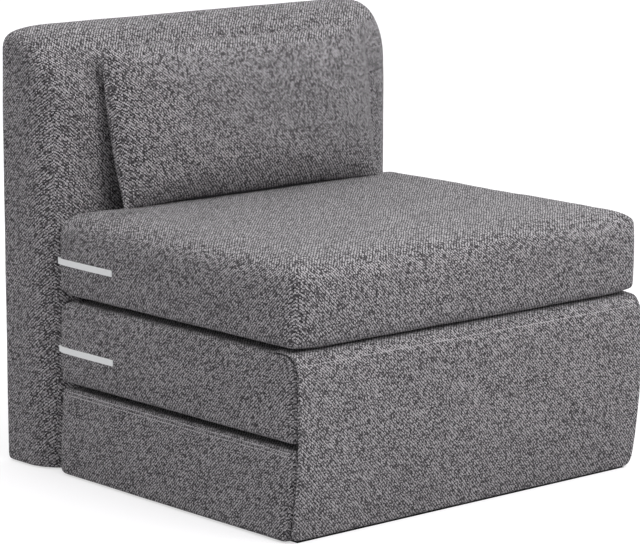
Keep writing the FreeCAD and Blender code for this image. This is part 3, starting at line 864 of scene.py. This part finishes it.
def flapProfile():
    # The flap's outer line from its sewn edge to the floor, as (y, z, outward y, outward z, thickness).
    look = flapLook
    outer = look["bend"] + look["gap"] + look["thickness"]
    thin = look["bend"] + look["tongueGap"] + look["tongue"]
    rows = []
    for share in np.linspace(1, 0, 4)[:-1]:
        rows.append((centreY + look["tongueLength"] * share, centreZ + thin, 0, 1, look["tongue"]))
    for angle in np.linspace(90, 0, 26):
        ease = float(smoothStep(90.0 - angle, look["easeFrom"], look["easeTo"]))
        radius = thin + (outer - thin) * ease
        turn = math.radians(angle)
        thickness = look["tongue"] + (look["thickness"] - look["tongue"]) * ease
        rows.append((centreY - radius * math.cos(turn), centreZ + radius * math.sin(turn),
                     -math.cos(turn), math.sin(turn), thickness))
    levels = list(np.arange(centreZ - 6, foldZ + 12, -look["rows"]))
    levels += list(np.arange(foldZ + 11, foldZ - 12, -look["foldRows"]))
    levels += list(np.arange(foldZ - 14, look["floorGap"] + 6, -look["rows"]))
    levels += [look["floorGap"] + d for d in (5, 3, 1.6, 0.6, 0)]
    for z in levels:
        rows.append((flapOuter, z, -1, 0, look["thickness"]))
    return rows


def makeFlap():
    look = flapLook
    rows = flapProfile()
    half, edge = look["width"] / 2, look["edge"]
    inner = (0, 0.4, 1.2, 2.4, 4, 7)
    flat = half - inner[-1]
    across = np.linspace(-flat, flat, round(2 * flat / look["columns"]) + 1)[1:-1]
    columns = [-half + d for d in inner] + list(across) + [half - d for d in reversed(inner)]

    def placeAt(i, k, side, rim):
        y, z, outY, outZ, thickness = rows[k]
        x = columns[i]
        above = z - look["floorGap"]
        radius = look["cornerRadius"]
        if above < radius:
            x *= (half - radius + math.sqrt(radius ** 2 - (radius - above) ** 2)) / half
        fromEdge = min(half - abs(columns[i]), above)
        share = math.sqrt(max(0, 1 - (1 - min(fromEdge / edge, 1)) ** 2))
        recess = look["edgeRecess"] * math.exp(-fromEdge / look["recessReach"]) if rim or side > 0 else 0
        depth = thickness / 2 if rim else thickness / 2 * (1 - side * share)
        return (x, y - outY * (depth + recess), z - outZ * (depth + recess))

    points, faces = twoLayers(len(columns) - 1, len(rows) - 1, placeAt)
    obj = makeObject("frontFlap", leanIn(points) * mm, faces, tweed)
    unevenness(obj, *look["uneven"])
    return obj


flap = makeFlap()
flapSurface = surfaceOf(flap)
turn = math.radians(flapLook["stitchAngle"])
threadLook = {"spacing": 6.0, "length": 4.4, "radius": 0.6}
threadX = range(-flapLook["stitchReach"], flapLook["stitchReach"] + 1, flapLook["stitchStep"])
fromY, fromZ = [flapLook["stitchFrom"] * part for part in (math.cos(turn), math.sin(turn))]
stitchStarts = [(x, centreY - fromY, centreZ + fromZ) for x in threadX]
stitchTargets = [(x, centreY, centreZ) for x in threadX]
stitchPath = lay(flapSurface, stitchStarts, stitchTargets, 0.1)
makeStitches("flapStitches", [stitchPath], "middle_section", threadLook)
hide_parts("front_flap_lower", "front_flap_upper")
print("front flap made")


# Thin cloths

def thinSheet(name, layers, finish, smooth):
    # A closed sheet from its two layers, each a grid of rows of points in mm. The first layer faces out.
    layers = np.array(layers)
    rows, columns = layers.shape[1:3]
    one, two = np.arange(2 * rows * columns).reshape(2, rows, columns)
    faces = []
    for k in range(rows - 1):
        for i in range(columns - 1):
            faces.append((one[k, i], one[k, i + 1], one[k + 1, i + 1], one[k + 1, i]))
            faces.append((two[k, i], two[k + 1, i], two[k + 1, i + 1], two[k, i + 1]))
        faces.append((one[k, 0], one[k + 1, 0], two[k + 1, 0], two[k, 0]))
        faces.append((one[k, -1], two[k, -1], two[k + 1, -1], one[k + 1, -1]))
    for i in range(columns - 1):
        faces.append((one[0, i], two[0, i], two[0, i + 1], one[0, i + 1]))
        faces.append((one[-1, i], one[-1, i + 1], two[-1, i + 1], two[-1, i]))
    return makeObject(name, layers.reshape(-1, 3) * mm, faces, finish, smooth=smooth)


def foldCloth(name, node, fold):
    low, high = corners(node)
    columns, rows = np.linspace(low[0], high[0], 41), foldRows(node, fold)
    layers = [[[(x, y, z) for x in columns] for z in rows] for y in (low[1], high[1])]
    obj = thinSheet(name, layers, tweed, True)
    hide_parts(node)
    return obj


def foldRows(node, fold):
    # Heights of a fold cloth's rows, close together where it bends.
    low, high = corners(node)
    near = np.arange(fold - 10, fold + 10.1, 1.25)
    return [low[2], (low[2] + fold - 10) / 2, *near, (high[2] + fold + 10) / 2, high[2]]


rearFoldZ = middleHigh[2] + 1
frontFold = foldCloth("frontFoldCloth", "front_fold_cloth", foldZ)
rearFold = foldCloth("rearFoldCloth", "rear_fold_cloth", rearFoldZ)
print("fold cloths made")


# Zips

zipLook = {
    "tapeThickness": 0.8, "slotWidth": 12,
    "teethTop": 2.4, "toothPitch": 2.0, "toothWidth": 3.2, "toothThickness": 1.0, "overlap": 0.7,
    "pillowWidth": 9, "pillowHalf": 160, "pillowTilt": 8.6, "pillowTop": 1.2,
}


def makeZip(name, node, body, width, half, turn):
    # A coil zip along X in its own frame: tape on the plane Y = 0, teeth standing up towards +Y.
    look = zipLook
    top, pitch, overlap = look["tapeThickness"], look["toothPitch"], look["overlap"]
    points = [(sx * half, y, sz * width / 2) for sx in (-1, 1) for y in (0, top) for sz in (-1, 1)]
    faces = [(0, 1, 3, 2), (4, 6, 7, 5), (0, 4, 5, 1), (2, 3, 7, 6), (0, 2, 6, 4), (1, 5, 7, 3)]
    kinds = [0] * 6
    for number in range(int(2 * half / pitch) * 2):
        side = 1 if number % 2 else -1
        middle = -half + (number / 2 + 0.5) * pitch
        inner, outer = side * -overlap, side * (look["toothWidth"] - overlap)
        a = len(points)
        for x in (middle - look["toothThickness"] / 2, middle + look["toothThickness"] / 2):
            points += [(x, top, outer), (x, top, inner), (x, look["teethTop"], inner),
                       (x, look["teethTop"] - 0.4, outer)]
        faces += [(a, a + 1, a + 2, a + 3), (a + 4, a + 7, a + 6, a + 5), (a + 3, a + 2, a + 6, a + 7),
                  (a + 1, a + 5, a + 6, a + 2), (a, a + 3, a + 7, a + 4)]
        kinds += [1] * 5
    obj = makeObject(name, turn(np.array(points)) * mm, faces, blackTape, nylonCoil, smooth=False)
    obj.data.polygons.foreach_set("material_index", kinds[:len(obj.data.polygons)])
    return finishPiece(obj, body, "zip_tape", node)


def rearZip(name, node, body, cover):
    # Sinks a slot in the cover's rear face and lays the zip in it.
    low, high = corners(node)
    middleZ, half = (low[2] + high[2]) / 2, high[0]
    makeZip(name, node, body, high[2] - low[2], half,
            lambda p: np.column_stack((p[:, 0], low[1] + p[:, 1], middleZ + p[:, 2])))
    slot, face = zipLook["slotWidth"] / 2, high[1] + 1.5
    slotLow, slotHigh = (-half + 2, low[1], middleZ - slot), (half - 2, face, middleZ + slot)
    cutSlot(cover, slotLow, slotHigh, 1, 1, face - low[1] + 0.05)


rearZip("backZip", "back_zip", "chair_base", backrest)
rearZip("baseZip", "base_zip", "chair_base", base)
rearZip("middleZip", "middle_zip", "middle_section", middle)
rearZip("seatZip", "seat_zip", "seat_section", seat)
pillowZipLow, pillowZipHigh = corners("pillow_zip")


def turnPillowZip(p):
    # The pillow's zip faces down along the pillow's own lean.
    angle = math.radians(zipLook["pillowTilt"])
    middleY, middleZ = [(pillowZipLow[i] + pillowZipHigh[i]) / 2 for i in (1, 2)]
    out, across = zipLook["pillowTop"] - p[:, 1], p[:, 2]
    y = middleY + out * math.sin(angle) + across * math.cos(angle)
    z = middleZ + out * math.cos(angle) - across * math.sin(angle)
    return np.column_stack((p[:, 0], y, z))


makeZip("pillowZip", "pillow_zip", "pillow", zipLook["pillowWidth"], zipLook["pillowHalf"], turnPillowZip)
print("zips made")


# Cushions take their places on the bodies

cushions = (    # piece, body, nodes that it stands for, how full it is: 0 slack, 1 tight
    (seat, "seat_section", ("seat_cover", "seat_foam"), 0.9),
    (middle, "middle_section", ("middle_cover", "middle_foam"), 0.9),
    (base, "chair_base", ("base_cover", "base_foam"), 0.95),
    (backrest, "chair_base", ("back_cover", "back_foam"), 0.9),
    (pillow, "pillow", ("pillow_cover", "pillow_filling"), 0.8),
)
for piece, body, nodes, fill in cushions:
    finishPiece(piece, body, "grey_fabric", *nodes)


# Topstitching on the base and seams on the backrest

baseStitchLook = {
    "drops": (6.5, 12.5),   # mm below the base's top
    "lipDrop": 9.5, "lipRadius": 1.6,
    "spacing": 6.5, "length": 4.8, "radius": 0.9,
    "frontGap": 16, "rearGap": 12,      # the rows end before the flap, and turn the rear corner
    "sideStep": 12, "rearStep": 14, "rearReach": 385,
}
backSeamLook = {    # mm
    "inward": 62, "foot": 14, "step": 12,
    "cornerDepth": 70, "cornerHeight": 48, "belowTop": 60, "endAcross": 300, "cornerPoints": 14,
    "lift": -0.3, "radius": 1.0,
}
outside = 440   # mm from the middle, clear of every side


def roundBase(height):
    # Left side, rear and right side of the base, from outside, as ray starts and targets.
    look = baseStitchLook
    front, rear, step = baseLow[1] + look["frontGap"], baseHigh[1] - look["rearGap"], look["sideStep"]
    starts = [(-outside, y, height) for y in np.arange(front, rear, step)]
    targets = [(0, y, height) for _, y, _ in starts]
    for x in np.arange(-look["rearReach"], look["rearReach"] + 1, look["rearStep"]):
        starts.append((x, baseHigh[1] + 40, height))
        targets.append((x, 0, height))
    for y in np.arange(rear, front, -step):
        starts.append((outside, y, height))
        targets.append((0, y, height))
    return starts, targets


stitchPaths = [lay(baseSurface, *roundBase(baseHigh[2] - drop), 0.1) for drop in baseStitchLook["drops"]]
makeStitches("baseTopstitch", stitchPaths, "chair_base", baseStitchLook)
lipPath = lay(baseSurface, *roundBase(baseHigh[2] - baseStitchLook["lipDrop"]), -0.2)
ridge("baseSeamLip", [lipPath], baseStitchLook["lipRadius"], "chair_base")


def backSideSeam(side):
    # Up the backrest's side where the front panel wraps round, and back over its top.
    look = backSeamLook
    y, turnZ = backLow[1] + look["inward"], backHigh[2] - look["belowTop"]
    starts = [(side * outside, y, z) for z in np.arange(look["foot"], turnZ, look["step"])]
    targets = [(0, y, z) for _, y, z in starts]
    for share in np.linspace(0, 1, look["cornerPoints"]):
        angle = share * math.pi / 2
        back = y + look["cornerDepth"] * (1 - math.cos(angle))
        up = turnZ + look["cornerHeight"] * math.sin(angle)
        starts.append((side * outside, back, up))
        targets.append((side * look["endAcross"], back, up))
    return lay(backSurface, starts, targets, look["lift"])


ridge("backSideSeams", [backSideSeam(-1), backSideSeam(1)], backSeamLook["radius"], "chair_base")
print("seams sewn")


# Straps and patches

strapLook = {"thickness": 1.6, "lift": 0.9, "least": 401.0, "wraps": True}      # least: mm from the middle
patchLook = {"thickness": 0.7, "lift": 0.1, "least": 400.0, "wraps": False}
strapLonger = 8     # mm that each reaches further forward than its node
strapCorner = 5.4   # mm from its rear end, where a strap's corner ends
sectionRear = 246   # mm, the last place where a ray meets the section's flat side


def strip(surface, side, low, high, look):
    # A flat strip that follows a section's side, in mm. A strap starts round the section's rear corner.
    path = []
    rear = high[1] - (strapCorner if look["wraps"] else 0)
    height = (low[2] + high[2]) / 2
    for y in np.linspace(rear, low[1] - strapLonger, 25):
        start = Vector((side * 0.5, min(y, sectionRear) * mm, height * mm))
        place = surface.ray_cast(start, Vector((-side, 0, 0)))[0]
        away = max(abs(place.x) / mm + look["lift"], look["least"]) if place is not None else look["least"]
        path.append((away, y, 1, 0))
    if look["wraps"]:
        corner, behind = path[0][0], high[1] - 0.7
        path = [
            (look["least"] - 0.8, behind, 0, 1), (corner - 3.5, behind, 0, 1),
            (corner - 1.2, behind - 0.8, 0.6, 0.8), (corner - 0.1, behind - 2.6, 0.95, 0.3),
        ] + path
    points, faces = [], []
    thickness = look["thickness"]
    for x, y, outX, outY in path:
        for out, z in ((0, low[2]), (0, high[2]), (thickness, high[2] - 0.3), (thickness, low[2] + 0.3)):
            points.append((side * (x + outX * out), y + outY * out, z))
    last = len(points) - 4
    for start in range(0, last, 4):
        for turn in range(4):
            a, b = start + turn, start + (turn + 1) % 4
            faces.append((a, b, b + 4, a + 4) if side > 0 else (a + 4, b + 4, b, a))
    ends = [(3, 2, 1, 0), (last, last + 1, last + 2, last + 3)]
    faces += ends if side > 0 else [face[::-1] for face in ends]
    return points, faces


def makeStrips(name, body, node, surface, sides, look):
    points, faces = joinParts([strip(surface, side, *corners(node), look) for side in sides])
    obj = makeObject(name, np.array(points) * mm, faces, whiteWebbing, smooth=False)
    finishPiece(obj, body, "white_webbing", node)


for level, surface in (("upper", seatSurface), ("lower", middleSurface)):
    for sideName, side in (("left", -1), ("right", 1)):
        body = sideName + "_" + level
        makeStrips(sideName + level.title() + "Strap", body, body + "_strap", surface, (side,), strapLook)
for section, surface in (("seat", seatSurface), ("middle", middleSurface)):
    makeStrips(section + "StrapPatches", section + "_section", section + "_strap_patches",
               surface, (-1, 1), patchLook)
print("straps laid")


# Underside cloths

undersideLook = {"columns": 41, "rows": 25, "rise": 0.25, "waves": 60, "floor": 0.02}     # mm


def makeUnderside(name, node, body):
    # A flat cloth whose lower side is a little wavy.
    look, (low, high) = undersideLook, corners(node)
    columns = np.linspace(low[0], high[0], look["columns"])
    rows = np.linspace(low[1], high[1], look["rows"])

    def lowAt(x, y):
        rise = look["rise"] * noise.noise(Vector((x / look["waves"], y / look["waves"], 2.0)))
        return max(low[2] + rise, look["floor"])

    below = [[(x, y, lowAt(x, y)) for x in columns] for y in rows]
    above = [[(x, y, high[2]) for x in columns] for y in rows]
    obj = thinSheet(name, [above, below], blackFelt, False)
    finishPiece(obj, body, "black_cloth", node)


makeUnderside("baseUndersideCloth", "base_underside_cloth", "chair_base")
makeUnderside("backUndersideCloth", "back_underside_cloth", "chair_base")
print("underside cloths made")


# CAD pieces that keep their own shape

carriedFinishes = (     # material, mm that worn edges are rounded by, nodes
    (pine, 1.5, ("back_left_post", "back_right_post", "back_top_rail", "back_middle_rail",
                 "back_bottom_rail")),
    (plywood, 0.5, ("back_board",)),
    (zincPlate, 0.3, ("frame_screws",)),
    (blackEnamel, 0.3, ("back_zip_slider", "base_zip_slider", "middle_zip_slider", "seat_zip_slider",
                        "pillow_zip_slider")),
    (blackTape, 0.2, ("back_joining_tape", "base_joining_tape")),
    (whiteWebbing, 0.2, ("strap_tabs",)),
)
for finish, softEdge, nodeNames in carriedFinishes:
    for nodeName in nodeNames:
        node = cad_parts[nodeName]
        node.data.materials.clear()
        node.data.materials.append(finish)
        bevel = node.modifiers.new("softEdge", "BEVEL")
        bevel.width, bevel.segments, bevel.limit_method = softEdge * mm, 2, "ANGLE"
print("carried pieces finished")


# Soft pieces that cross a fold have their transforms baked into their points

folds = (       # piece, bodies, and in mm: y and z of the fold, and how far from it the cloth bends
    (flap, "chair_base", "middle_section", flapOuter, foldZ, 7),
    (frontFold, "chair_base", "middle_section", flapOuter, foldZ, 6),
    (rearFold, "seat_section", "middle_section", baseHigh[1], rearFoldZ, -6),
)
for piece, body, otherBody, y, z, reach in folds:
    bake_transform(piece)


# Floor, light and camera

stageLook = {
    "floorColour": "#bdbcbe",
    "floorSize": 30.0,
    "floorGlow": 0.56,
    "horizonStrength": 0.27,
    "zenithStrength": 1.45,
    "keyPower": 74.0,
    "keyPlace": (0.6, -2.8, 3.2),
    "keySize": (2.6, 2.0),
    "keyAim": (0, 0, 0.3),
    "lens": 179.37,
    "cameraPlace": (-3.6674, -4.1819, 1.4027),
    "cameraTurn": (79.28, -0.06, -41.14),    # degrees
}


def seenDirectly(tree):
    # The camera, mirrors and glass; light from here to other surfaces isn't counted.
    path = addNode(tree, "LightPath")
    kinds = ("Camera", "Glossy", "Transmission")
    camera, glossy, through = [path.outputs["Is %s Ray" % kind] for kind in kinds]
    either = addNode(tree, "Math", {0: camera, 1: glossy}, operation="MAXIMUM")
    return addNode(tree, "Math", {0: either, 1: through}, operation="MAXIMUM")


def makeWorld():
    world = bpy.data.worlds.new("studio")
    scene.world = world
    world.use_nodes = True
    tree = world.node_tree
    tree.nodes.clear()
    place = addNode(tree, "TexCoord")
    height = addNode(tree, "SeparateXYZ", {0: place.outputs["Generated"]})
    strength = addNode(tree, "MapRange", {
        0: height.outputs[2], 1: 0.0, 2: 1.0, 3: stageLook["horizonStrength"], 4: stageLook["zenithStrength"],
    })
    light = addNode(tree, "Background", {"Color": (1, 1, 1, 1), "Strength": strength})
    white = addNode(tree, "Background", {"Color": (1, 1, 1, 1), "Strength": 1.0})
    mixed = addNode(tree, "MixShader", {0: seenDirectly(tree), 1: light, 2: white})
    addNode(tree, "OutputWorld", {0: mixed})


def paintedFloor():
    # Matt white paint that the camera sees a little lighter, so that only the shadow shows.
    material, tree = newMaterial("paintedFloor")
    paint = addNode(tree, "BsdfPrincipled", {
        "Base Color": srgb(stageLook["floorColour"]), "Roughness": 0.9, "Specular IOR Level": 0.0,
    })
    glow = addNode(tree, "Emission", {"Color": (1, 1, 1, 1), "Strength": stageLook["floorGlow"]})
    lighter = addNode(tree, "AddShader", {0: paint, 1: glow})
    mixed = addNode(tree, "MixShader", {0: seenDirectly(tree), 1: paint, 2: lighter})
    addNode(tree, "OutputMaterial", {0: mixed})
    return material


def makeFloor():
    size = stageLook["floorSize"]
    square = [(-size, -size, 0), (size, -size, 0), (size, size, 0), (-size, size, 0)]
    makeObject("floor", square, [(0, 1, 2, 3)], paintedFloor(), smooth=False)


def makeKeyLamp():
    lamp = bpy.data.lights.new("keyLamp", "AREA")
    lamp.shape = "RECTANGLE"
    lamp.size, lamp.size_y = stageLook["keySize"]
    lamp.energy = stageLook["keyPower"]
    obj = bpy.data.objects.new("keyLamp", lamp)
    scene.collection.objects.link(obj)
    obj.location = stageLook["keyPlace"]
    towards = Vector(stageLook["keyAim"]) - Vector(stageLook["keyPlace"])
    obj.rotation_euler = towards.to_track_quat("-Z", "Y").to_euler()


def makeCamera():
    camera = bpy.data.cameras.new("camera")
    camera.lens = stageLook["lens"]
    camera.sensor_width = 36.0
    camera.clip_end = 100
    obj = bpy.data.objects.new("camera", camera)
    scene.collection.objects.link(obj)
    obj.location = stageLook["cameraPlace"]
    obj.rotation_euler = [math.radians(angle) for angle in stageLook["cameraTurn"]]
    scene.camera = obj


makeWorld()
makeFloor()
makeKeyLamp()
makeCamera()
scene.view_settings.view_transform = "Standard"
print("stage set")
